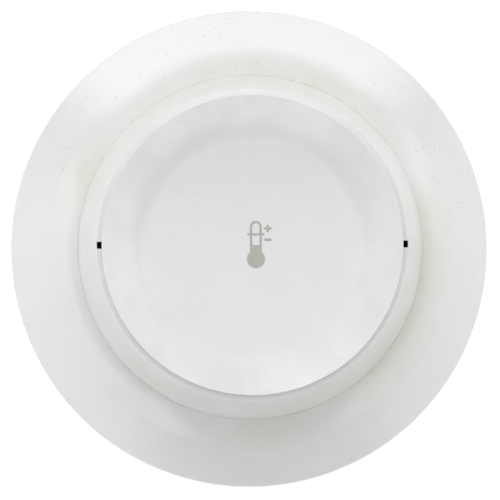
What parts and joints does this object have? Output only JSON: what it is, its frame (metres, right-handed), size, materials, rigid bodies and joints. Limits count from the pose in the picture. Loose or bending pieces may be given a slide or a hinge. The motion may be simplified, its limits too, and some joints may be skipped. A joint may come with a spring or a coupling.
{
  "type": "heat detector",
  "caption": "Round ceiling heat detector: tapered sensing head with a dished press-to-test face plate, twist-locked onto a base with a wide flared trim skirt.",
  "frame": {"origin": "centre of the base's back face, which lies on the ceiling", "axes": "+Z out of the ceiling towards the face plate; +X towards one indicator window; +Y towards the top of the thermometer symbol"},
  "size_m": [0.155, 0.155, 0.0399],
  "materials": {
    "white_trim_plastic": "moulded, glossy",
    "white_head_plastic": "moulded, glossy",
    "white_base_plastic": "moulded, fine texture",
    "grey_symbol_plastic": "satin",
    "smoked_plastic": "polished",
    "black_plastic": "moulded",
    "black_epoxy": "satin",
    "thermistor_epoxy": "dipped",
    "lamp_resin": "clear resin",
    "green_laminate": "solder mask",
    "battery_sleeve": "shrink sleeve",
    "capacitor_sleeve": "shrink sleeve",
    "phosphor_bronze": "bright",
    "piezo_brass": "bright",
    "piezo_ceramic": "silvered",
    "plated_steel": "zinc plated",
    "spring_steel": "bright drawn",
    "label_paper": "satin, blank"
  },
  "bodies": {
    "base": {"trim_skirt": "white_trim_plastic", "mounting_base": "white_base_plastic", "contact_springs": "phosphor_bronze", "clamp_washers": "plated_steel", "terminal_screws": "plated_steel"},
    "head": {"outer_housing": "white_head_plastic", "rear_cover": "white_base_plastic", "housing_screws": "plated_steel", "battery_door": "white_base_plastic", "backup_battery": "battery_sleeve", "battery_contacts": "plated_steel", "circuit_board": "green_laminate", "microcontroller": "black_epoxy", "power_capacitors": "capacitor_sleeve", "surface_parts": "black_epoxy", "thermistor_beads": "thermistor_epoxy", "thermistor_leads": "plated_steel", "indicator_leds": "lamp_resin", "sounder_cup": "black_plastic", "piezo_disc": "piezo_brass", "piezo_ceramic": "piezo_ceramic", "test_switch": "black_plastic", "head_contacts": "phosphor_bronze", "rating_label": "label_paper", "return_springs": "spring_steel", "right_light_guide": "smoked_plastic", "left_light_guide": "smoked_plastic"},
    "test_plate": {"face_plate": "white_head_plastic", "thermometer_symbol": "grey_symbol_plastic", "plate_clips": "spring_steel"},
    "switch_button": {"switch_plunger": "black_plastic"}
  },
  "joints": [
    {"name": "head_twist", "type": "hinge", "parent": "base", "child": "head", "pos_m": [0, 0, 0], "axis": [0, 0, 1], "range_deg": [0, 20]},
    {"name": "test_plate_press", "type": "slide", "parent": "head", "child": "test_plate", "axis": [0, 0, -1], "range_m": [0, 0.0005], "stiffness_N_per_m": 2000, "springref_m": -0.002, "deforming": ["return_springs"]},
    {"name": "test_switch_press", "type": "slide", "parent": "head", "child": "switch_button", "axis": [0, 0, -1], "range_m": [0, 0.0005], "stiffness_N_per_m": 300, "springref_m": -0.0005}
  ],
  "couplings": [
    {"joint": "test_switch_press", "follows": "test_plate_press", "ratio": 1}
  ]
}
